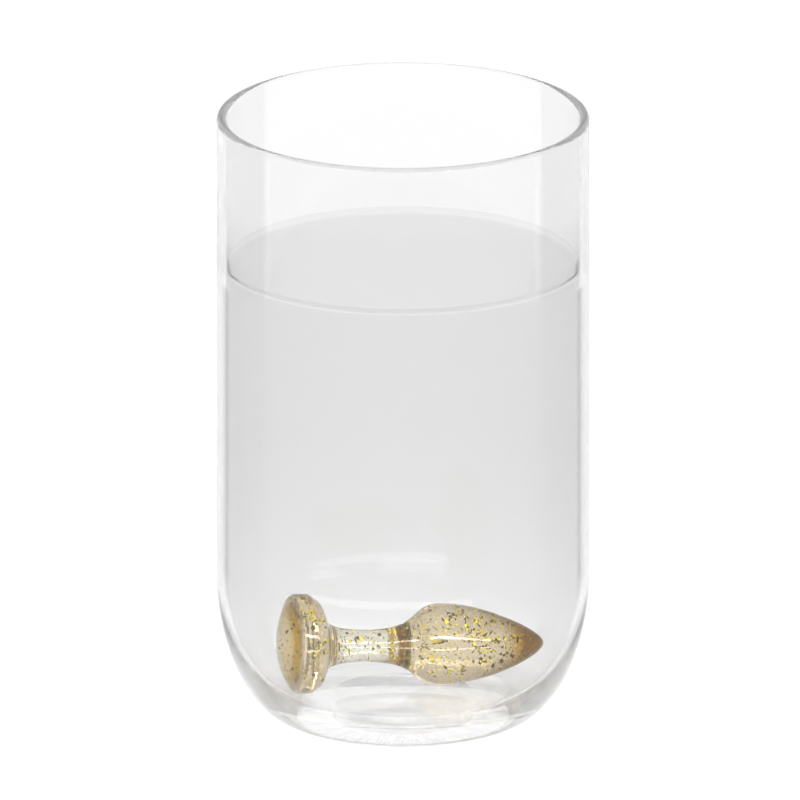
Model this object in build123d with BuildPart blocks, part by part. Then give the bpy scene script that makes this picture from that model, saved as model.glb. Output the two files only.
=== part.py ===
from build123d import *
import os
from math import asin, atan2, cos, degrees, pi, radians, sin, sqrt

# A tall round drinking glass, partly filled with water, with a solid glass plug lying on
# its floor. Gold flakes are cast into the plug. Millimetres, +Z up, and the origin is the
# middle of the ring that the glass stands on.

# Glass: a straight wall over a heavy base with a large rounded corner
GLASS_RADIUS = 45.0
GLASS_HEIGHT = 151.0
WALL = 2.3
CORNER_HEIGHT = 37.0
STANDING_RADIUS = 25.6
PUNT_RADIUS = 17.0
PUNT_DEPTH = 1.2
FLOOR_HEIGHT = 7.0
FLOOR_RADIUS = 26.5
HOLLOW_CORNER_HEIGHT = 29.0
BORE_RADIUS = GLASS_RADIUS - WALL

# Water: a film thinner than the wall, with a meniscus that climbs the glass
WATER_LEVEL = 113.5
FILM = 0.02
MENISCUS_WIDTH = 2.6
MENISCUS_CLIMB = 1.8

# Plug: a domed foot, a flared waist and a pear-shaped head, turned about one axis
PLUG_LENGTH = 64.9
DOME_HEIGHT = 3.4
RIM_THICKNESS = 3.9
RIM_ROUND = 1.1
FOOT_RADIUS = 12.8
WAIST_STATION = 21.0
WAIST_RADIUS = 4.1
BELLY_STATION = 39.6
BELLY_RADIUS = 10.4
# Its outline's curves, as control points of distance along the axis and radius
RIM_BACK = (DOME_HEIGHT + RIM_THICKNESS, FOOT_RADIUS)
WAIST = (WAIST_STATION, WAIST_RADIUS)
BELLY = (BELLY_STATION, BELLY_RADIUS)
FLARE = [RIM_BACK, (12.5, 8.9), (7.2, WAIST_RADIUS), WAIST]
SHOULDER = [WAIST, (35.1, WAIST_RADIUS), (32.1, BELLY_RADIUS), BELLY]
TAPER = [BELLY, (50.4, BELLY_RADIUS), (PLUG_LENGTH, 3.5), (PLUG_LENGTH, 0)]

# How the plug lies: on the rim of its foot and on its belly, turned a little
PLUG_YAW = radians(14.5)
FOOT_STATION = DOME_HEIGHT + RIM_THICKNESS / 2
FOOT_X = -24.1
FOOT_Y = -8.8
REST_GAP = 0.12
CAVITY_GAP = 0.1

# Gold flakes: thin plates wholly inside the plug
FLAKE_THICKNESS = 0.12
FLAKE_SMALLEST = 0.35
FLAKE_LARGEST = 0.75
FLAKE_COVER = 1.3
GOLDEN_TURN = pi * (3 - sqrt(5))
GOLDEN_RATIO = (1 + sqrt(5)) / 2

os.makedirs("parts", exist_ok=True)


def curve_points(controls, steps=40):
    """Points along one of the outline's curves."""
    curve = Bezier(*controls)
    return [curve @ (i / steps) for i in range(steps + 1)]


outline = [Vector(0, 0), Vector(DOME_HEIGHT, FOOT_RADIUS)]
outline += curve_points(FLARE) + curve_points(SHOULDER) + curve_points(TAPER)


def plug_radius(station):
    """The plug's radius at a distance along its axis."""
    for before, after in zip(outline, outline[1:]):
        if before.X <= station <= after.X and after.X > before.X:
            share = (station - before.X) / (after.X - before.X)
            return before.Y + (after.Y - before.Y) * share
    return 0.0


# The plug leans on two circles of unequal radius, so its foot end rides higher
lean = atan2(FOOT_RADIUS - BELLY_RADIUS, BELLY_STATION - FOOT_STATION)
reach = max(point.Y * cos(lean) + point.X * sin(lean) for point in outline)
heading = Vector(cos(PLUG_YAW) * cos(lean), sin(PLUG_YAW) * cos(lean), -sin(lean))
sideways = Vector(sin(PLUG_YAW), -cos(PLUG_YAW), 0)
foot_height = FLOOR_HEIGHT + REST_GAP + reach - FOOT_STATION * sin(lean)
dome_top = Vector(FOOT_X, FOOT_Y, foot_height) - heading * FOOT_STATION
lying = Plane(origin=dome_top, x_dir=heading, z_dir=sideways)
plug_axis = Axis(dome_top, heading)


def plug_section():
    """Half of the plug's lengthwise section, on the lying plane."""
    dome_curve = (FOOT_RADIUS**2 + DOME_HEIGHT**2) / (2 * DOME_HEIGHT)
    dome_edge = (DOME_HEIGHT, FOOT_RADIUS)
    with BuildSketch(lying) as section:
        with BuildLine():
            RadiusArc((0, 0), dome_edge, dome_curve)
            Line(dome_edge, RIM_BACK)
            Bezier(*FLARE)
            Bezier(*SHOULDER)
            Bezier(*TAPER)
            Line((PLUG_LENGTH, 0), (0, 0))
        make_face()
        fillet(section.vertices().sort_by(Axis.Y)[-2:], RIM_ROUND)
    return section.sketch


def flakes(first_station, last_station, number):
    """Planes and sizes of plates spread evenly through one stretch of the plug."""
    spread = []
    for i in range(number):
        station = first_station + (last_station - first_station) * (i + 0.5) / number
        room = plug_radius(station) - FLAKE_COVER
        away = room * sqrt((i * GOLDEN_RATIO) % 1)
        turn = i * GOLDEN_TURN
        place = lying.from_local_coords((station, away * cos(turn), away * sin(turn)))
        tilt = asin(2 * ((i * sqrt(2)) % 1) - 1)
        spin = i * sqrt(3)
        facing = (cos(tilt) * cos(spin), cos(tilt) * sin(spin), sin(tilt))
        size = FLAKE_SMALLEST + (FLAKE_LARGEST - FLAKE_SMALLEST) * ((i * sqrt(5)) % 1) ** 2
        spread.append((Plane(origin=place, z_dir=facing), size))
    return spread


def flake_corners(size):
    """An irregular five-sided plate about its own middle."""
    corners = [(0, 1.0), (75, 0.7), (140, 1.05), (220, 0.8), (290, 0.65)]
    return [(size * k * cos(radians(a)), size * k * sin(radians(a))) for a, k in corners]


with BuildPart() as tumbler:
    with BuildSketch(Plane.XZ):
        with BuildLine():
            ThreePointArc((0, PUNT_DEPTH), (PUNT_RADIUS / 2, PUNT_DEPTH * 3 / 4), (PUNT_RADIUS, 0))
            Line((PUNT_RADIUS, 0), (STANDING_RADIUS, 0))
            EllipticalCenterArc(
                (STANDING_RADIUS, CORNER_HEIGHT),
                GLASS_RADIUS - STANDING_RADIUS,
                CORNER_HEIGHT,
                start_angle=270,
                arc_size=90,
            )
            Line((GLASS_RADIUS, CORNER_HEIGHT), (GLASS_RADIUS, GLASS_HEIGHT - WALL / 2))
            ThreePointArc(
                (GLASS_RADIUS, GLASS_HEIGHT - WALL / 2),
                (GLASS_RADIUS - WALL / 2, GLASS_HEIGHT),
                (BORE_RADIUS, GLASS_HEIGHT - WALL / 2),
            )
            hollow_corner_top = FLOOR_HEIGHT + HOLLOW_CORNER_HEIGHT
            Line((BORE_RADIUS, GLASS_HEIGHT - WALL / 2), (BORE_RADIUS, hollow_corner_top))
            EllipticalCenterArc(
                (FLOOR_RADIUS, hollow_corner_top),
                BORE_RADIUS - FLOOR_RADIUS,
                HOLLOW_CORNER_HEIGHT,
                start_angle=270,
                arc_size=90,
            )
            Line((FLOOR_RADIUS, FLOOR_HEIGHT), (0, FLOOR_HEIGHT))
            Line((0, FLOOR_HEIGHT), (0, PUNT_DEPTH))
        make_face()
    revolve(axis=Axis.Z)
tumbler.part.label = "tumbler"
export_step(tumbler.part, "parts/tumbler.step")


with BuildPart() as plug:
    revolve(plug_section(), axis=plug_axis)
plug.part.label = "plug"
export_step(plug.part, "parts/plug.step")


with BuildPart() as plug_cavity:
    offset(plug.part, amount=CAVITY_GAP)


with BuildPart() as water:
    with BuildSketch(Plane.XZ):
        with BuildLine():
            water_radius = BORE_RADIUS - FILM
            water_floor = FLOOR_HEIGHT + FILM
            Line((0, water_floor), (FLOOR_RADIUS, water_floor))
            EllipticalCenterArc(
                (FLOOR_RADIUS, hollow_corner_top),
                water_radius - FLOOR_RADIUS,
                hollow_corner_top - water_floor,
                start_angle=270,
                arc_size=90,
            )
            shore = (water_radius, WATER_LEVEL + MENISCUS_CLIMB)
            Line((water_radius, hollow_corner_top), shore)
            meniscus_start = (water_radius - MENISCUS_WIDTH, WATER_LEVEL)
            TangentArc(meniscus_start, shore, tangent=(1, 0))
            Line(meniscus_start, (0, WATER_LEVEL))
            Line((0, WATER_LEVEL), (0, water_floor))
        make_face()
    revolve(axis=Axis.Z)
    add(plug_cavity.part, mode=Mode.SUBTRACT)
water.part.label = "water"
export_step(water.part, "parts/water.step")


with BuildPart() as gold_flakes_foot:
    for plane, size in flakes(DOME_HEIGHT - 0.4, 12.0, 50):
        with BuildSketch(plane):
            Polygon(*flake_corners(size), align=None)
    extrude(amount=FLAKE_THICKNESS)
gold_flakes_foot.part.label = "gold_flakes_foot"
export_step(gold_flakes_foot.part, "parts/gold_flakes_foot.step")


with BuildPart() as gold_flakes_waist:
    for plane, size in flakes(13.0, 30.0, 50):
        with BuildSketch(plane):
            Polygon(*flake_corners(size), align=None)
    extrude(amount=FLAKE_THICKNESS)
gold_flakes_waist.part.label = "gold_flakes_waist"
export_step(gold_flakes_waist.part, "parts/gold_flakes_waist.step")


with BuildPart() as gold_flakes_head:
    for plane, size in flakes(31.5, 61.0, 100):
        with BuildSketch(plane):
            Polygon(*flake_corners(size), align=None)
    extrude(amount=FLAKE_THICKNESS)
gold_flakes_head.part.label = "gold_flakes_head"
export_step(gold_flakes_head.part, "parts/gold_flakes_head.step")

print("plug leans", round(degrees(lean), 2), "degrees; its clear height over the floor", REST_GAP)
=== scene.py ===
"""A drinking glass of water with a gold-flecked glass plug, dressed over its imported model."""

import logging
import math
import random
from dataclasses import dataclass, field
from enum import Enum

import bmesh
import bpy
from mathutils import Euler, Matrix, Vector


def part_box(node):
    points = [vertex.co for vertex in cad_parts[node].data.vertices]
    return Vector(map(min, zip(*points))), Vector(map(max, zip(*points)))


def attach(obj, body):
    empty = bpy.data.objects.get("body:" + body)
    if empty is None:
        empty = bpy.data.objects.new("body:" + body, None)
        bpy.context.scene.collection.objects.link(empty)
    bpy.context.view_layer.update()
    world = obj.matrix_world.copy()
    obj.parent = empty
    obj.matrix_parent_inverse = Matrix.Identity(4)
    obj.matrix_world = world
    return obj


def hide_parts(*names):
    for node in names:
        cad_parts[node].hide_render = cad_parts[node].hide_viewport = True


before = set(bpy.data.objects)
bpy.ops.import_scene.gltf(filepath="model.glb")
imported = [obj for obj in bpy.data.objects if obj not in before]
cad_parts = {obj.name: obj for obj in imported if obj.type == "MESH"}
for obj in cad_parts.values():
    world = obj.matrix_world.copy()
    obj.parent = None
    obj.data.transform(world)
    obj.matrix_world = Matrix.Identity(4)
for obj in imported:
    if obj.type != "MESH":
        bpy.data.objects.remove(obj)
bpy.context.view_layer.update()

log = logging.getLogger("glass")
MM = 0.001
MERGE_DISTANCE = 0.0001 * MM
Point = tuple[float, float]


# ---------------------------------------------------------------- shader tools


class Wire:
    """A node's output socket that can be used in Python expressions on values."""

    def __init__(self, book: "NodeBook", socket: bpy.types.NodeSocket) -> None:
        """Keeps the socket and the material it belongs to.

        Args:
            book: The material's node maker.
            socket: The output socket to wrap.
        """
        self.book = book
        self.socket = socket

    def _math(self, operation: str, first: object, second: object) -> "Wire":
        """Adds one Math node on two values."""
        return self.book.node("ShaderNodeMath", {"operation": operation}, {0: first, 1: second})

    def __add__(self, other: object) -> "Wire":
        """self + other."""
        return self._math("ADD", self, other)

    def __radd__(self, other: object) -> "Wire":
        """other + self."""
        return self._math("ADD", other, self)

    def __sub__(self, other: object) -> "Wire":
        """self - other."""
        return self._math("SUBTRACT", self, other)

    def __rsub__(self, other: object) -> "Wire":
        """other - self."""
        return self._math("SUBTRACT", other, self)

    def __mul__(self, other: object) -> "Wire":
        """self * other."""
        return self._math("MULTIPLY", self, other)

    def __rmul__(self, other: object) -> "Wire":
        """other * self."""
        return self._math("MULTIPLY", other, self)

    def __truediv__(self, other: object) -> "Wire":
        """self / other."""
        return self._math("DIVIDE", self, other)

    def __pow__(self, other: object) -> "Wire":
        """self ** other."""
        return self._math("POWER", self, other)

    def __gt__(self, other: object) -> "Wire":
        """1 where self is greater than other, else 0."""
        return self._math("GREATER_THAN", self, other)


class NodeBook:
    """Makes the nodes of one material or world."""

    def __init__(self, tree: bpy.types.NodeTree) -> None:
        """Empties a node tree and keeps it.

        Args:
            tree: The node tree to fill.
        """
        self.tree = tree
        self.tree.nodes.clear()

    def node(
        self,
        kind: str,
        settings: dict | None = None,
        inputs: dict | None = None,
        output: str | int = 0,
    ) -> Wire:
        """Adds a node, sets it up and links it.

        Args:
            kind: The node's type, such as ShaderNodeMix.
            settings: Properties to set first. The key "stops" fills a colour ramp.
            inputs: Values or wires for its sockets, by name or number.
            output: The output socket to hand back, by name or number.

        Returns:
            The chosen output, ready for an expression.
        """
        made = self.tree.nodes.new(kind)
        for name, value in (settings or {}).items():
            if name == "stops":
                self._fill_ramp(made.color_ramp, value)
            else:
                setattr(made, name, value)
        for key, value in (inputs or {}).items():
            if isinstance(value, Wire):
                self.tree.links.new(value.socket, made.inputs[key])
            else:
                made.inputs[key].default_value = value
        return Wire(self, made.outputs[output])

    def _fill_ramp(self, ramp: bpy.types.ColorRamp, stops: list[tuple]) -> None:
        """Puts stops on a colour ramp.

        Args:
            ramp: The ramp to fill, with its own stops taken off first.
            stops: Pairs of place and colour, in order.
        """
        while len(ramp.elements) > 1:
            ramp.elements.remove(ramp.elements[-1])
        ramp.elements[0].position = stops[0][0]
        ramp.elements[0].color = stops[0][1]
        for place, colour in stops[1:]:
            ramp.elements.new(place).color = colour

    def spot(self) -> Wire:
        """The Object coordinate, in metres."""
        return self.node("ShaderNodeTexCoord", output="Object")

    def place(self) -> tuple[Wire, Wire, Wire]:
        """The Object coordinate's X, Y and Z, in metres."""
        parts = self.node("ShaderNodeSeparateXYZ", inputs={0: self.spot()}).socket.node
        return tuple(Wire(self, parts.outputs[axis]) for axis in "XYZ")

    def facing(self) -> Wire:
        """0 where a face is seen squarely, 1 where it is seen edge on."""
        return self.node("ShaderNodeLayerWeight", inputs={"Blend": 0.5}, output="Facing")

    def fade(self, value: Wire, none: float, full: float) -> Wire:
        """0 where the value is at none, 1 where it is at full, even in between."""
        return self.node("ShaderNodeMapRange", inputs={"Value": value, 1: none, 2: full})

    def blend(self, share: object, first: object, second: object) -> Wire:
        """One colour turned into another by a share."""
        inputs = {"Factor": share, 6: first, 7: second}
        return self.node("ShaderNodeMix", {"data_type": "RGBA"}, inputs, output=2)

    def multiply(self, first: object, second: object) -> Wire:
        """Two colours multiplied."""
        settings = {"data_type": "RGBA", "blend_type": "MULTIPLY"}
        return self.node("ShaderNodeMix", settings, {"Factor": 1.0, 6: first, 7: second}, 2)

    def tones(self, value: Wire, stops: tuple) -> Wire:
        """Neutral tones looked up from (place, level) stops."""
        ramp = [(place, grey(level)) for place, level in stops]
        return self.node("ShaderNodeValToRGB", {"stops": ramp}, {0: value})

    def polished(self, ior: float, inputs: dict) -> Wire:
        """A smooth shader that light goes through, with its index and its other sockets."""
        shared = {"Roughness": 0.0, "IOR": ior, "Transmission Weight": 1.0}
        return self.node("ShaderNodeBsdfPrincipled", inputs=shared | inputs)


@dataclass(frozen=True)
class Finish:
    """What every finish has: the name of its material."""

    name: str

    def material(self) -> bpy.types.Material:
        """Builds the material.

        Returns:
            A new material with this finish's nodes.
        """
        made = bpy.data.materials.new(self.name)
        made.use_nodes = True
        book = NodeBook(made.node_tree)
        surface, volume = self.shade(book)
        end = book.tree.nodes.new("ShaderNodeOutputMaterial")
        book.tree.links.new(surface.socket, end.inputs["Surface"])
        if volume is not None:
            book.tree.links.new(volume.socket, end.inputs["Volume"])
        return made

    def shade(self, book: NodeBook) -> tuple[Wire, Wire | None]:
        """Makes the surface shader and, where there is one, the volume shader."""
        raise NotImplementedError


@dataclass(frozen=True)
class ClearGlass(Finish):
    """Blown soda glass: colourless, with painted shade edge on and where water backs it.

    The tones go by how far a face turns from the eye. Each zone is a pair of
    heights above the table: where its effect starts, and where it is full.
    """

    name: str = "clear_glass"
    ior: float = 1.3
    # Grey tint of the glass, with painted shade as a face turns edge on.
    dry_tint_and_edge_shade: tuple = (
        (0.0, 0.938),
        (0.25, 0.938),
        (0.45, 0.93),
        (0.6, 0.92),
        (0.72, 0.91),
        (1.0, 0.92),
    )
    # Painted shade where water backs the wall: a dark line edge on.
    wet_edge_shade: tuple = (
        (0.0, 1.0),
        (0.5, 0.98),
        (0.62, 0.94),
        (0.643, 0.9),
        (0.669, 0.66),
        (0.698, 0.37),
        (0.72, 0.48),
        (0.75, 0.7),
        (0.8, 0.85),
        (0.88, 1.0),
    )
    wet_above: tuple = (30.0 * MM, 40.0 * MM)
    wet_below: tuple = (112.0 * MM, 111.5 * MM)
    wet_radius: float = 43.8 * MM
    # Painted light: the glass turns whiter from the first height down to the second.
    painted_low_light: tuple = (30.0 * MM, 7.0 * MM)
    painted_low_light_share: float = 0.6
    # Painted shade: a darker ring on the foot, low down and outside this radius.
    foot: tuple = (5.0 * MM, 2.0 * MM)
    foot_radius: float = 20.0 * MM
    foot_shade_tone: float = 0.8
    # Painted light: the lip and the base are made partly see-through, so they show lighter.
    body: float = 0.985
    lip: tuple = (112.0 * MM, 116.0 * MM)
    lip_see_through: float = 0.1
    base: tuple = (19.0 * MM, 7.0 * MM)
    base_see_through: float = 0.28

    def shade(self, book: NodeBook) -> tuple[Wire, Wire | None]:
        """Makes the glass: painted shade by how squarely it is seen, painted light low down.

        Args:
            book: The material's node maker.

        Returns:
            The surface shader, and no volume shader.
        """
        facing = book.facing()
        across, along, height = book.place()
        spread = across * across + along * along
        # Painted shade: greyer edge on, and darker edge on where water backs the wall.
        dry_shaded = book.tones(facing, self.dry_tint_and_edge_shade)
        wet_shaded = book.multiply(dry_shaded, book.tones(facing, self.wet_edge_shade))
        backed = book.fade(height, *self.wet_above) * book.fade(height, *self.wet_below)
        tint = book.blend(backed * (spread > self.wet_radius**2), dry_shaded, wet_shaded)
        # Painted light: the low glass is blended towards white.
        painted_low_light = book.fade(height, *self.painted_low_light) * self.painted_low_light_share
        tint = book.blend(painted_low_light, tint, grey(1.0))
        # Painted shade on the foot's ring.
        ring = book.fade(height, *self.foot) * (spread > self.foot_radius**2)
        tint = book.blend(ring, tint, book.multiply(tint, grey(self.foot_shade_tone)))
        # Painted light: lower alpha lets light straight through the lip and the base.
        lip = self.lip_see_through * book.fade(height, *self.lip)
        base = self.base_see_through * book.fade(height, *self.base)
        surface = book.polished(self.ior, {"Base Color": tint, "Alpha": self.body - lip - base})
        return surface, None


@dataclass(frozen=True)
class Water(Finish):
    """Still water: grey down its height, with painted light low down and painted shade at its
    sides and top.

    The tones go by how far a face turns from the eye. Each zone is a pair of
    heights above the table: where its effect starts, and where it is full.
    """

    name: str = "water"
    ior: float = 1.02
    # Grey tint of the water, with painted shade as a face turns edge on.
    grey_and_side_shade: tuple = ((0.0, 0.81), (0.3, 0.79), (0.5, 0.77), (0.7, 0.74), (1.0, 0.7))
    # Painted light: the water is whiter low down and greyer higher up; at its floor only a
    # share of the grey is kept.
    grey_over_lit_bottom: tuple = (-60.0 * MM, 62.0 * MM)
    lit_floor_fade: tuple = (6.0 * MM, 22.0 * MM)
    lit_floor_grey_share: float = 0.3
    # Painted shade: the still surface, and above it the meniscus, are greyer.
    level: float = 113.45 * MM
    surface_shade_tone: float = 0.86
    climb: float = 113.65 * MM
    meniscus_shade_tone: float = 0.92

    def shade(self, book: NodeBook) -> tuple[Wire, Wire | None]:
        """Makes the water: grey, with painted light low down and painted shade edge on and on
        top.

        Args:
            book: The material's node maker.

        Returns:
            The surface shader, and no volume shader.
        """
        height = book.place()[2]
        # Painted light low down: the grey fades towards white near the floor.
        lifted = (1.0 - self.lit_floor_grey_share) * book.fade(height, *self.lit_floor_fade)
        grey_over_lit_bottom = book.fade(height, *self.grey_over_lit_bottom) * (self.lit_floor_grey_share + lifted)
        # Painted shade: the sides, seen edge on, are greyer.
        tint = book.blend(grey_over_lit_bottom, grey(1.0), book.tones(book.facing(), self.grey_and_side_shade))
        # Painted shade on the surface and then on the meniscus.
        tint = book.blend(height > self.level, tint, grey(self.surface_shade_tone))
        tint = book.blend(height > self.climb, tint, grey(self.meniscus_shade_tone))
        return book.polished(self.ior, {"Base Color": tint}), None


class Tint(Enum):
    """The colours that the cast glass takes along the plug."""

    DOME = (0.74, 0.58, 0.30, 1.0)
    DOME_EDGE = (0.56, 0.37, 0.10, 1.0)
    CLEAR = (0.97, 0.96, 0.88, 1.0)
    BEIGE = (0.80, 0.71, 0.55, 1.0)
    HONEY = (0.50, 0.29, 0.04, 1.0)
    AMBER = (0.26, 0.11, 0.0, 1.0)


@dataclass(frozen=True)
class ChampagneGlass(Finish):
    """Solid cast glass, nearly clear in the waist, beige in the head and amber at the tip.

    The bands and the tip's zone are shares of the plug's length from its foot. Edge on,
    the glass takes painted dark amber shade, deeper in the tip's zone.
    """

    name: str = "champagne_glass"
    ior: float = 1.38
    heading: tuple = (0.0, 0.0, 1.0)
    start: float = 0.0
    length: float = 64.9 * MM
    bands: tuple = (
        (0.0, Tint.DOME),
        (0.016, Tint.DOME_EDGE),
        (0.022, Tint.AMBER),
        (0.036, Tint.AMBER),
        (0.046, Tint.BEIGE),
        (0.11, Tint.BEIGE),
        (0.14, Tint.CLEAR),
        (0.185, Tint.CLEAR),
        (0.194, Tint.AMBER),
        (0.204, Tint.CLEAR),
        (0.42, Tint.CLEAR),
        (0.435, Tint.AMBER),
        (0.45, Tint.AMBER),
        (0.465, Tint.BEIGE),
        (0.82, Tint.BEIGE),
        (0.89, Tint.HONEY),
        (0.91, Tint.AMBER),
    )
    # Painted shade: the tip's zone and the dark amber laid on edge on.
    tip: tuple = (0.62, 0.88)
    edge: tuple = (0.12, 0.055, 0.0, 1.0)
    edge_shade_power: float = 1.6
    coat_power: float = 2.0
    coat_ior: float = 1.8
    shine: tuple = (1.0, 0.78, 0.4, 1.0)
    depth: tuple = (0.92, 0.77, 0.42, 1.0)
    depth_density: float = 17.0

    def shade(self, book: NodeBook) -> tuple[Wire, Wire | None]:
        """Makes the tinted glass and what it absorbs.

        Args:
            book: The material's node maker.

        Returns:
            The surface shader and the volume shader.
        """
        station = book.node(
            "ShaderNodeVectorMath",
            {"operation": "DOT_PRODUCT"},
            {0: book.spot(), 1: self.heading},
            output="Value",
        )
        share = (station - self.start) / self.length
        stops = [(at, tint.value) for at, tint in self.bands]
        face = book.node("ShaderNodeValToRGB", {"stops": stops}, {0: share})
        # Painted shade: faces turning edge on go dark amber, more so in the tip's zone.
        facing = book.facing()
        tip_shade_share = book.fade(share, *self.tip)
        turned = facing**self.edge_shade_power + facing * tip_shade_share
        surface = book.polished(
            self.ior,
            {
                "Base Color": book.blend(turned, face, self.edge),
                "Coat Weight": (1.0 - facing) ** self.coat_power * (1.0 - tip_shade_share),
                "Coat Roughness": 0.0,
                "Coat IOR": self.coat_ior,
                "Specular Tint": self.shine,
            },
        )
        volume = book.node(
            "ShaderNodeVolumeAbsorption",
            inputs={"Color": self.depth, "Density": self.depth_density},
        )
        return surface, volume


@dataclass(frozen=True)
class GoldFlake(Finish):
    """Gold leaf flake: crumpled metal with painted glints and painted dark shade from noise."""

    name: str = "gold_flake"
    # Painted shade and glints: noise makes a flake dark, greenish or bright yellow.
    painted_shade_dark: tuple = (0.06, 0.045, 0.02, 1.0)
    painted_shade_to: float = 0.495
    green: tuple = (0.60, 0.60, 0.06, 1.0)
    green_at: float = 0.52
    painted_glint: tuple = (0.95, 0.80, 0.06, 1.0)
    painted_glint_from: float = 0.59
    glint_patch_scale: float = 900.0
    crumple_scale: float = 2600.0
    crumple_strength: float = 0.6
    crumple_depth: float = 0.2 * MM
    metallic: float = 0.85
    roughness: float = 0.28
    # Painted light: the flakes glow in their own colour, though they are no lamp.
    painted_glow: float = 0.6

    def shade(self, book: NodeBook) -> tuple[Wire, Wire | None]:
        """Makes the metal, with painted glints and shade that change from flake to flake.

        Args:
            book: The material's node maker.

        Returns:
            The surface shader, and no volume shader.
        """
        spot = book.spot()
        # Painted glints: noise patches choose dark or bright yellow flakes.
        glint_patch_inputs = {"Vector": spot, "Scale": self.glint_patch_scale}
        glint_patch = book.node("ShaderNodeTexNoise", inputs=glint_patch_inputs)
        stops = [
            (self.painted_shade_to, self.painted_shade_dark),
            (self.green_at, self.green),
            (self.painted_glint_from, self.painted_glint),
        ]
        colour = book.node("ShaderNodeValToRGB", {"stops": stops}, {0: glint_patch})
        crumple_inputs = {"Vector": spot, "Scale": self.crumple_scale}
        crumple = book.node("ShaderNodeTexNoise", inputs=crumple_inputs)
        bump = book.node(
            "ShaderNodeBump",
            inputs={
                "Strength": self.crumple_strength,
                "Distance": self.crumple_depth,
                "Height": crumple,
            },
        )
        surface = book.node(
            "ShaderNodeBsdfPrincipled",
            inputs={
                "Base Color": colour,
                "Metallic": self.metallic,
                "Roughness": self.roughness,
                # Painted glint: each flake also glows in its painted colour.
                "Emission Color": colour,
                "Emission Strength": self.painted_glow,
                "Normal": bump,
            },
        )
        return surface, None


@dataclass(frozen=True)
class PaleFloor(Finish):
    """A seamless white sweep, which glows a little so that its white is even."""

    name: str = "pale_floor"
    white: float = 0.33
    lift: float = 0.715
    roughness: float = 0.9

    def shade(self, book: NodeBook) -> tuple[Wire, Wire | None]:
        """Makes the matt white sweep.

        Args:
            book: The material's node maker.

        Returns:
            The surface shader, and no volume shader.
        """
        surface = book.node(
            "ShaderNodeBsdfPrincipled",
            inputs={
                "Base Color": grey(self.white),
                "Roughness": self.roughness,
                "Emission Color": grey(1.0),
                "Emission Strength": self.lift,
            },
        )
        return surface, None


def grey(level: float) -> tuple[float, float, float, float]:
    """A neutral colour of one level."""
    return (level, level, level, 1.0)


# ------------------------------------------------------------------- mesh tools


def turned_piece(
    name: str, outline: list[Point], steps: int, place: Matrix | None = None
) -> bpy.types.Object:
    """Spins an outline about the Z axis, closes its poles and puts it in place.

    Args:
        name: The piece's name.
        outline: Points of radius and height, from one end on the axis to the other.
        steps: How many facets go round.
        place: Where the turned shape stands in the object's frame, if it isn't upright
            at the origin.

    Returns:
        The new object, at the origin, with its place in its mesh.
    """
    shape = bmesh.new()
    chain = [shape.verts.new((radius, 0.0, height)) for radius, height in outline]
    edges = [shape.edges.new(pair) for pair in zip(chain, chain[1:])]
    bmesh.ops.spin(
        shape,
        geom=chain + edges,
        cent=(0, 0, 0),
        axis=(0, 0, 1),
        angle=math.tau,
        steps=steps,
        use_merge=True,
    )
    bmesh.ops.remove_doubles(shape, verts=shape.verts, dist=MERGE_DISTANCE)
    bmesh.ops.recalc_face_normals(shape, faces=shape.faces)
    bmesh.ops.transform(shape, matrix=place or Matrix.Identity(4), verts=shape.verts)
    return finish_mesh(name, shape, smooth=True)


def finish_mesh(name: str, shape: bmesh.types.BMesh, smooth: bool) -> bpy.types.Object:
    """Writes a bmesh to a new object in the scene.

    Args:
        name: The object's name.
        shape: The bmesh, which is freed.
        smooth: Whether its faces are shaded smooth.

    Returns:
        The new object.
    """
    data = bpy.data.meshes.new(name)
    for face in shape.faces:
        face.smooth = smooth
    shape.to_mesh(data)
    shape.free()
    piece = bpy.data.objects.new(name, data)
    bpy.context.scene.collection.objects.link(piece)
    return piece


def quarter(centre: Point, radii: Point, start: float, end: float, steps: int) -> list[Point]:
    """Points along a stretch of an ellipse.

    Args:
        centre: Its middle, as radius and height.
        radii: Its half widths along the radius and the height.
        start: The first angle, in degrees from the outward direction.
        end: The last angle.
        steps: How many stretches to divide it in.

    Returns:
        The points, both ends included.
    """
    points = []
    for i in range(steps + 1):
        angle = math.radians(start + (end - start) * i / steps)
        across = centre[0] + radii[0] * math.cos(angle)
        points.append((across, centre[1] + radii[1] * math.sin(angle)))
    return points


def run(first: Point, last: Point, steps: int, support: float = 0.06 * MM) -> list[Point]:
    """Points between the ends of a straight stretch, close together at each end.

    The close points keep the smooth shading of the curves beyond from bending the
    light in the straight stretch.

    Args:
        first: Its first end, which is left out.
        last: Its last end, which is left out.
        steps: How many equal stretches to divide the middle in.
        support: How far the first and last points stand from the ends.

    Returns:
        The points between the ends.
    """
    margin = support / math.dist(first, last)
    shares = [margin + (1 - 2 * margin) * i / steps for i in range(steps + 1)]
    return [tuple(a + (b - a) * share for a, b in zip(first, last)) for share in shares]


def bezier(controls: list[Point], steps: int) -> list[Point]:
    """Points along a cubic Bezier curve.

    Args:
        controls: Its four control points.
        steps: How many stretches to divide it in.

    Returns:
        The points, both ends included.
    """
    points = []
    for i in range(steps + 1):
        t = i / steps
        shares = ((1 - t) ** 3, 3 * t * (1 - t) ** 2, 3 * t * t * (1 - t), t**3)
        across = sum(share * x for share, (x, _) in zip(shares, controls))
        points.append((across, sum(share * y for share, (_, y) in zip(shares, controls))))
    return points


# ------------------------------------------------------------------ the object


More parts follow.
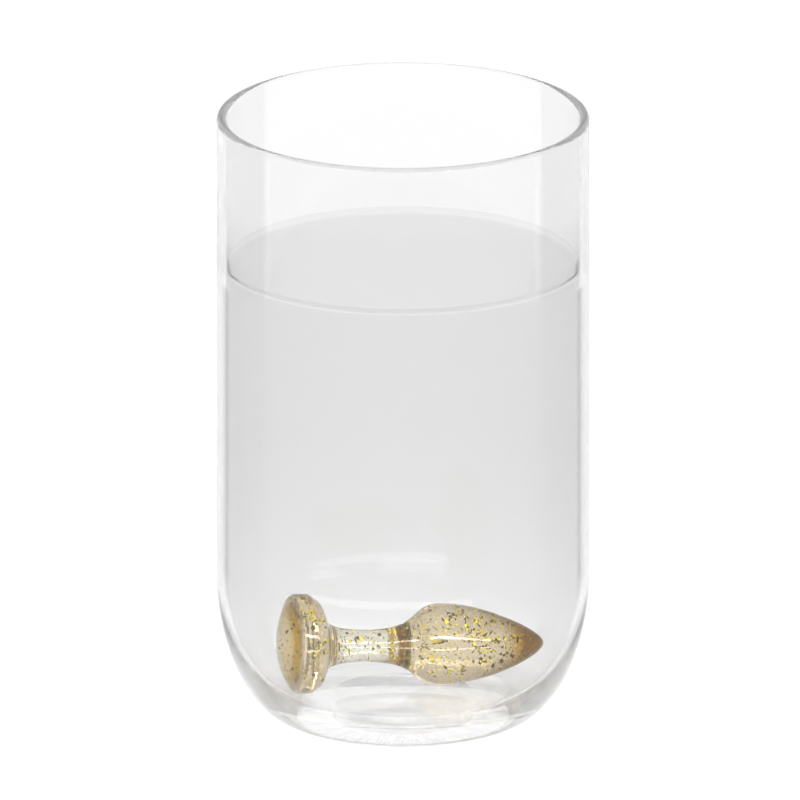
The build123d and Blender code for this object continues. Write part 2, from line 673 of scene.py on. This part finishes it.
@dataclass
class Tumbler:
    """The drinking glass: straight wall, fire-polished rim and a heavy round-cornered base."""

    radius: float = 45.0 * MM
    height: float = 151.0 * MM
    wall: float = 2.3 * MM
    corner_height: float = 37.0 * MM
    standing_radius: float = 25.6 * MM
    punt_radius: float = 17.0 * MM
    punt_depth: float = 1.2 * MM
    floor_height: float = 7.0 * MM
    floor_radius: float = 26.5 * MM
    hollow_corner_height: float = 29.0 * MM
    steps: int = 256
    corner_steps: int = 48
    wall_steps: int = 12
    floor_steps: int = 6
    ring_steps: int = 2
    rim_steps: int = 16
    punt_steps: int = 12
    finish: Finish = field(default_factory=ClearGlass)

    @property
    def hollow_top(self) -> float:
        """Where the hollow's rounded corner meets its straight wall."""
        return self.floor_height + self.hollow_corner_height

    def outline(self) -> list[Point]:
        """The wall's section.

        Returns:
            Points of radius and height, from the punt's middle round to the middle of
            the inner floor.
        """
        bore = self.radius - self.wall
        lip = self.wall / 2
        punt = []
        for i in range(self.punt_steps + 1):
            share = i / self.punt_steps
            punt.append((self.punt_radius * share, self.punt_depth * (1 - share**2)))
        corner = quarter(
            (self.standing_radius, self.corner_height),
            (self.radius - self.standing_radius, self.corner_height),
            -90,
            0,
            self.corner_steps,
        )
        rim_middle = (self.radius - lip, self.height - lip)
        rim = quarter(rim_middle, (lip, lip), 0, 180, self.rim_steps)
        hollow = quarter(
            (self.floor_radius, self.hollow_top),
            (bore - self.floor_radius, self.hollow_corner_height),
            0,
            -90,
            self.corner_steps,
        )
        ring = run(punt[-1], corner[0], self.ring_steps)
        outside = run(corner[-1], rim[0], self.wall_steps)
        inside = run(rim[-1], hollow[0], self.wall_steps)
        middle = (0.0, self.floor_height)
        floor = run(hollow[-1], middle, self.floor_steps)
        return punt + ring + corner + outside + rim + inside + hollow + floor + [middle]

    def build(self) -> bpy.types.Object:
        """Makes the glass and rides it on its body.

        Returns:
            The dressed piece.
        """
        piece = turned_piece("tumbler_wall", self.outline(), self.steps)
        piece.data.materials.append(self.finish.material())
        piece.visible_shadow = False
        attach(piece, "glass")
        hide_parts("tumbler")
        return piece


@dataclass
class WaterBody:
    """The water: it fills the hollow to its level and climbs a little up the wall."""

    tumbler: Tumbler
    film: float = 0.03 * MM
    level: float = 113.5 * MM
    meniscus_width: float = 2.6 * MM
    meniscus_climb: float = 1.8 * MM
    meniscus_steps: int = 12
    finish: Finish = field(default_factory=Water)

    def outline(self) -> list[Point]:
        """The water's section.

        Returns:
            Points of radius and height, from the floor's middle round to the middle of
            the surface.
        """
        glass = self.tumbler
        edge = glass.radius - glass.wall - self.film
        bottom = glass.floor_height + self.film
        corner = quarter(
            (glass.floor_radius, glass.hollow_top),
            (edge - glass.floor_radius, glass.hollow_top - bottom),
            -90,
            0,
            glass.corner_steps,
        )
        surface = quarter(
            (edge - self.meniscus_width, self.level + self.meniscus_climb),
            (self.meniscus_width, self.meniscus_climb),
            0,
            -90,
            self.meniscus_steps,
        )
        middle = (0.0, bottom)
        top = (0.0, self.level)
        floor = run(middle, corner[0], glass.floor_steps)
        side = run(corner[-1], surface[0], glass.wall_steps)
        still = run(surface[-1], top, glass.floor_steps)
        return [middle] + floor + corner + side + surface + still + [top]

    def build(self) -> bpy.types.Object:
        """Makes the water and rides it on the glass's body.

        Returns:
            The dressed piece.
        """
        piece = turned_piece("still_water", self.outline(), self.tumbler.steps)
        piece.data.materials.append(self.finish.material())
        piece.visible_shadow = False
        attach(piece, "glass")
        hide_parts("water")
        return piece


@dataclass
class Plug:
    """The cast glass plug: domed foot, flared waist and pear-shaped head.

    Stations are distances along its axis from the middle of its dome.
    """

    length: float = 64.9 * MM
    dome_height: float = 3.4 * MM
    rim_thickness: float = 3.9 * MM
    rim_round: float = 1.1 * MM
    foot_radius: float = 12.8 * MM
    flare_pull: Point = (12.5 * MM, 8.9 * MM)
    flare_end: float = 7.2 * MM
    waist_radius: float = 4.1 * MM
    waist_station: float = 21.0 * MM
    shoulder_start: float = 35.1 * MM
    shoulder_end: float = 32.1 * MM
    belly_radius: float = 10.4 * MM
    belly_station: float = 39.6 * MM
    taper_start: float = 50.4 * MM
    tip_bluntness: float = 3.5 * MM
    yaw: float = math.radians(14.5)
    foot_x: float = -24.1 * MM
    foot_y: float = -8.8 * MM
    steps: int = 128
    dome_steps: int = 18
    corner_steps: int = 8
    back_steps: int = 6
    back_angle: float = 48.0
    flare_steps: int = 28
    shoulder_steps: int = 32
    taper_steps: int = 48

    def curve(self) -> list[Point]:
        """The outline from the foot's rim to the tip.

        Returns:
            Points of station and radius.
        """
        rim = (self.dome_height + self.rim_thickness, self.foot_radius)
        waist = (self.waist_station, self.waist_radius)
        belly = (self.belly_station, self.belly_radius)
        flare = [rim, self.flare_pull, (self.flare_end, self.waist_radius), waist]
        shoulder = [
            waist,
            (self.shoulder_start, self.waist_radius),
            (self.shoulder_end, self.belly_radius),
            belly,
        ]
        taper = [
            belly,
            (self.taper_start, self.belly_radius),
            (self.length, self.tip_bluntness),
            (self.length, 0.0),
        ]
        points = bezier(flare, self.flare_steps)[:-1]
        points += bezier(shoulder, self.shoulder_steps)[:-1]
        return points + bezier(taper, self.taper_steps)

    def radius_at(self, station: float) -> float:
        """The plug's radius at a station.

        Args:
            station: The distance along the axis, in metres.

        Returns:
            The radius there, or 0 past the ends.
        """
        points = [(0.0, 0.0), (self.dome_height, self.foot_radius)] + self.curve()
        for (low, before), (high, after) in zip(points, points[1:]):
            if low <= station <= high and high > low:
                return before + (after - before) * (station - low) / (high - low)
        return 0.0

    def placement(self) -> Matrix:
        """The lying plug's frame.

        Returns:
            The place of a frame whose Z runs along the plug, from its dome to its tip,
            with the foot's rim and the belly resting at one height.
        """
        foot_station = self.dome_height + self.rim_thickness / 2
        drop = self.foot_radius - self.belly_radius
        lean = math.atan2(drop, self.belly_station - foot_station)
        points = [(self.dome_height, self.foot_radius)] + self.curve()
        reach = max(r * math.cos(lean) + s * math.sin(lean) for s, r in points)
        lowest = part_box("plug")[0].z
        level = (math.cos(self.yaw) * math.cos(lean), math.sin(self.yaw) * math.cos(lean))
        heading = Vector((*level, -math.sin(lean)))
        foot_z = lowest + reach - foot_station * math.sin(lean)
        start = Vector((self.foot_x, self.foot_y, foot_z)) - heading * foot_station
        return Matrix.Translation(start) @ heading.to_track_quat("Z", "X").to_matrix().to_4x4()

    def outline(self) -> list[Point]:
        """The turned outline, with the corners of the foot's rim rounded.

        Returns:
            Points of radius and station, from the dome's middle to the tip.
        """
        arc = (self.foot_radius**2 + self.dome_height**2) / (2 * self.dome_height)
        turn = self.rim_round
        inner = self.foot_radius - turn
        dome = []
        for i in range(self.dome_steps + 1):
            radius = inner * i / self.dome_steps
            dome.append((radius, arc - math.sqrt(arc**2 - radius**2)))
        low = self.dome_height + turn * 0.75
        front = quarter((inner, low), (turn, low - dome[-1][1]), -90, 0, self.corner_steps)
        high = self.dome_height + self.rim_thickness - turn
        back = quarter((inner, high), (turn, turn), 0, self.back_angle, self.back_steps)
        after = [(r, s) for s, r in self.curve() if r < self.foot_radius - turn * 0.9]
        return dome[:-1] + front + back + after

    def build(self) -> bpy.types.Object:
        """Makes the plug and rides it on its own body.

        Returns:
            The dressed piece.
        """
        place = self.placement()
        heading = place.to_3x3() @ Vector((0, 0, 1))
        start = heading.dot(place.translation)
        finish = ChampagneGlass(heading=tuple(heading), start=start, length=self.length)
        piece = turned_piece("plug_glass", self.outline(), self.steps, place)
        piece.data.materials.append(finish.material())
        piece.visible_shadow = False
        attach(piece, "plug")
        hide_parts("plug")
        return piece


class Stretch(Enum):
    """The plug's flaked stretches: CAD node, first and last station, and how many flakes."""

    FOOT = ("gold_flakes_foot", 1.6 * MM, 12.0 * MM, 320)
    WAIST = ("gold_flakes_waist", 12.0 * MM, 30.0 * MM, 280)
    HEAD = ("gold_flakes_head", 30.0 * MM, 63.0 * MM, 950)


@dataclass
class FlakeCloud:
    """The gold flakes in one stretch of the plug."""

    plug: Plug
    stretch: Stretch
    material: bpy.types.Material
    cover: float = 0.5 * MM
    smallest: float = 0.16 * MM
    largest: float = 0.62 * MM
    thickness: float = 0.03 * MM
    small_bias: float = 1.6
    slimmest: float = 0.35
    fewest_corners: int = 4
    most_corners: int = 6
    ragged_in: float = -0.35
    ragged_out: float = 0.2

    def flake(self, shape: bmesh.types.BMesh, draw: random.Random, where: Vector) -> None:
        """Adds one crumpled flake.

        Args:
            shape: The bmesh that gathers the stretch's flakes.
            draw: The seeded source of sizes and turns.
            where: The flake's middle, in the plug's own frame.
        """
        span = self.largest - self.smallest
        size = self.smallest + span * draw.random() ** self.small_bias
        sliver = draw.uniform(self.slimmest, 1.0)
        turn = Euler([draw.uniform(0, math.tau) for _ in range(3)]).to_matrix().to_4x4()
        stretch = Matrix.Diagonal((size, size * sliver, self.thickness / 2, 1.0))
        made = bmesh.ops.create_circle(
            shape,
            cap_ends=True,
            radius=1.0,
            segments=draw.randint(self.fewest_corners, self.most_corners),
            matrix=Matrix.Translation(where) @ turn @ stretch,
        )
        for corner in made["verts"]:
            corner.co += (corner.co - where) * draw.uniform(self.ragged_in, self.ragged_out)
        rim = list({face for corner in made["verts"] for face in corner.link_faces})
        lifted = bmesh.ops.extrude_face_region(shape, geom=rim)
        lift = turn.to_3x3() @ Vector((0, 0, self.thickness))
        top = [item for item in lifted["geom"] if isinstance(item, bmesh.types.BMVert)]
        bmesh.ops.translate(shape, verts=top, vec=lift)

    def build(self) -> bpy.types.Object:
        """Makes the stretch's flakes as one piece and rides it with the plug.

        Returns:
            The dressed piece.
        """
        node, first, last, number = self.stretch.value
        draw = random.Random(node)
        shape = bmesh.new()
        placed = 0
        while placed < number:
            station = draw.uniform(first, last)
            room = self.plug.radius_at(station) - self.cover
            across = draw.uniform(-1, 1) * self.plug.foot_radius
            along = draw.uniform(-1, 1) * self.plug.foot_radius
            if math.hypot(across, along) > room:
                continue
            self.flake(shape, draw, Vector((across, along, station)))
            placed += 1
        bmesh.ops.recalc_face_normals(shape, faces=shape.faces)
        bmesh.ops.transform(shape, matrix=self.plug.placement(), verts=shape.verts)
        piece = finish_mesh(node.replace("gold_flakes", "flakes"), shape, smooth=False)
        piece.data.materials.append(self.material)
        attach(piece, "plug")
        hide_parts(node)
        return piece


# ------------------------------------------------------------------ the studio


@dataclass(frozen=True)
class Strip:
    """One long soft lamp: its name, its height in degrees, its width and its power."""

    name: str
    rise: float
    width: float
    power: float


@dataclass
class Studio:
    """The white sweep, the soft light all round and the long-lens camera."""

    elevation: float = 16.9
    frame_width: float = 193.03 * MM
    aim_x: float = -0.72 * MM
    aim_up: float = 75.8 * MM
    distance: float = 2.0
    view_depth: float = 20.0
    sweep_half: float = 1.6
    sweep_cells: int = 8
    room_tones: tuple = ((0.0, 1.0), (0.7, 1.0), (0.9, 0.85), (1.0, 0.6))
    room_strength: float = 0.96
    strips: tuple = (
        Strip("high_strip", 41.0, 0.16, 16.0),
        Strip("low_strip", 3.8, 0.13, 7.0),
    )
    strip_length: float = 3.2
    strip_side: float = 0.45
    strip_reach: float = 1.2
    bounces: int = 48
    straight_bounces: int = 16
    brightest_bounce: float = 40.0
    finish: Finish = field(default_factory=PaleFloor)

    def camera(self) -> None:
        """Adds the camera, level and looking down a little at the glass."""
        tilt = math.radians(self.elevation)
        back = Vector((0, -math.cos(tilt), math.sin(tilt)))
        up = Vector((0, math.sin(tilt), math.cos(tilt)))
        data = bpy.data.cameras.new("camera")
        data.type = "ORTHO"
        data.ortho_scale = self.frame_width
        data.clip_end = self.view_depth
        camera = bpy.data.objects.new("camera", data)
        camera.location = back * self.distance + up * self.aim_up + Vector((self.aim_x, 0, 0))
        camera.rotation_euler = (math.pi / 2 - tilt, 0, 0)
        bpy.context.scene.collection.objects.link(camera)
        bpy.context.scene.camera = camera

    def floor(self) -> None:
        """Adds the sweep that the glass stands on."""
        shape = bmesh.new()
        cells = self.sweep_cells
        bmesh.ops.create_grid(shape, x_segments=cells, y_segments=cells, size=self.sweep_half)
        floor = finish_mesh("sweep", shape, smooth=False)
        floor.data.materials.append(self.finish.material())

    def world(self) -> None:
        """Lights everything from a pale room that is darker at its two sides."""
        world = bpy.data.worlds.new("soft_room")
        bpy.context.scene.world = world
        world.use_nodes = True
        book = NodeBook(world.node_tree)
        way = book.node("ShaderNodeTexCoord", output="Generated")
        across = book.node("ShaderNodeSeparateXYZ", inputs={0: way}, output="X")
        side = book.node("ShaderNodeMath", {"operation": "ABSOLUTE"}, {0: across})
        tone = book.tones(side, self.room_tones)
        light_inputs = {"Color": tone, "Strength": self.room_strength}
        light = book.node("ShaderNodeBackground", inputs=light_inputs)
        end = book.tree.nodes.new("ShaderNodeOutputWorld")
        book.tree.links.new(light.socket, end.inputs["Surface"])

    def lamp(self, strip: Strip) -> None:
        """Adds a long lamp that shows in reflections but doesn't light the sweep.

        Args:
            strip: Where the lamp hangs, how wide it is and how strong.
        """
        data = bpy.data.lights.new(strip.name, "AREA")
        data.shape = "RECTANGLE"
        data.size = self.strip_length
        data.size_y = strip.width
        data.energy = strip.power
        lamp = bpy.data.objects.new(strip.name, data)
        tilt = math.radians(strip.rise)
        back = -self.strip_reach * math.cos(tilt)
        lamp.location = (self.strip_side, back, self.strip_reach * math.sin(tilt))
        lamp.rotation_euler = (math.pi / 2 - tilt, 0, 0)
        lamp.visible_camera = False
        lamp.visible_diffuse = False
        bpy.context.scene.collection.objects.link(lamp)

    def build(self) -> None:
        """Sets the whole stage and the way light is counted."""
        self.camera()
        for strip in self.strips:
            self.lamp(strip)
        self.floor()
        self.world()
        scene = bpy.context.scene
        scene.view_settings.view_transform = "Standard"
        scene.cycles.max_bounces = self.bounces
        scene.cycles.transmission_bounces = self.bounces
        scene.cycles.transparent_max_bounces = self.straight_bounces
        scene.cycles.sample_clamp_indirect = self.brightest_bounce


def main() -> None:
    """Builds the studio and every piece of the object."""
    logging.basicConfig(level=logging.INFO, format="%(message)s")
    Studio().build()
    tumbler = Tumbler()
    plug = Plug()
    flake_metal = GoldFlake().material()
    pieces = [tumbler.build(), WaterBody(tumbler).build(), plug.build()]
    pieces += [FlakeCloud(plug, stretch, flake_metal).build() for stretch in Stretch]
    for piece in pieces:
        log.info("%s: %d faces", piece.name, len(piece.data.polygons))


if __name__ == "__main__":
    main()
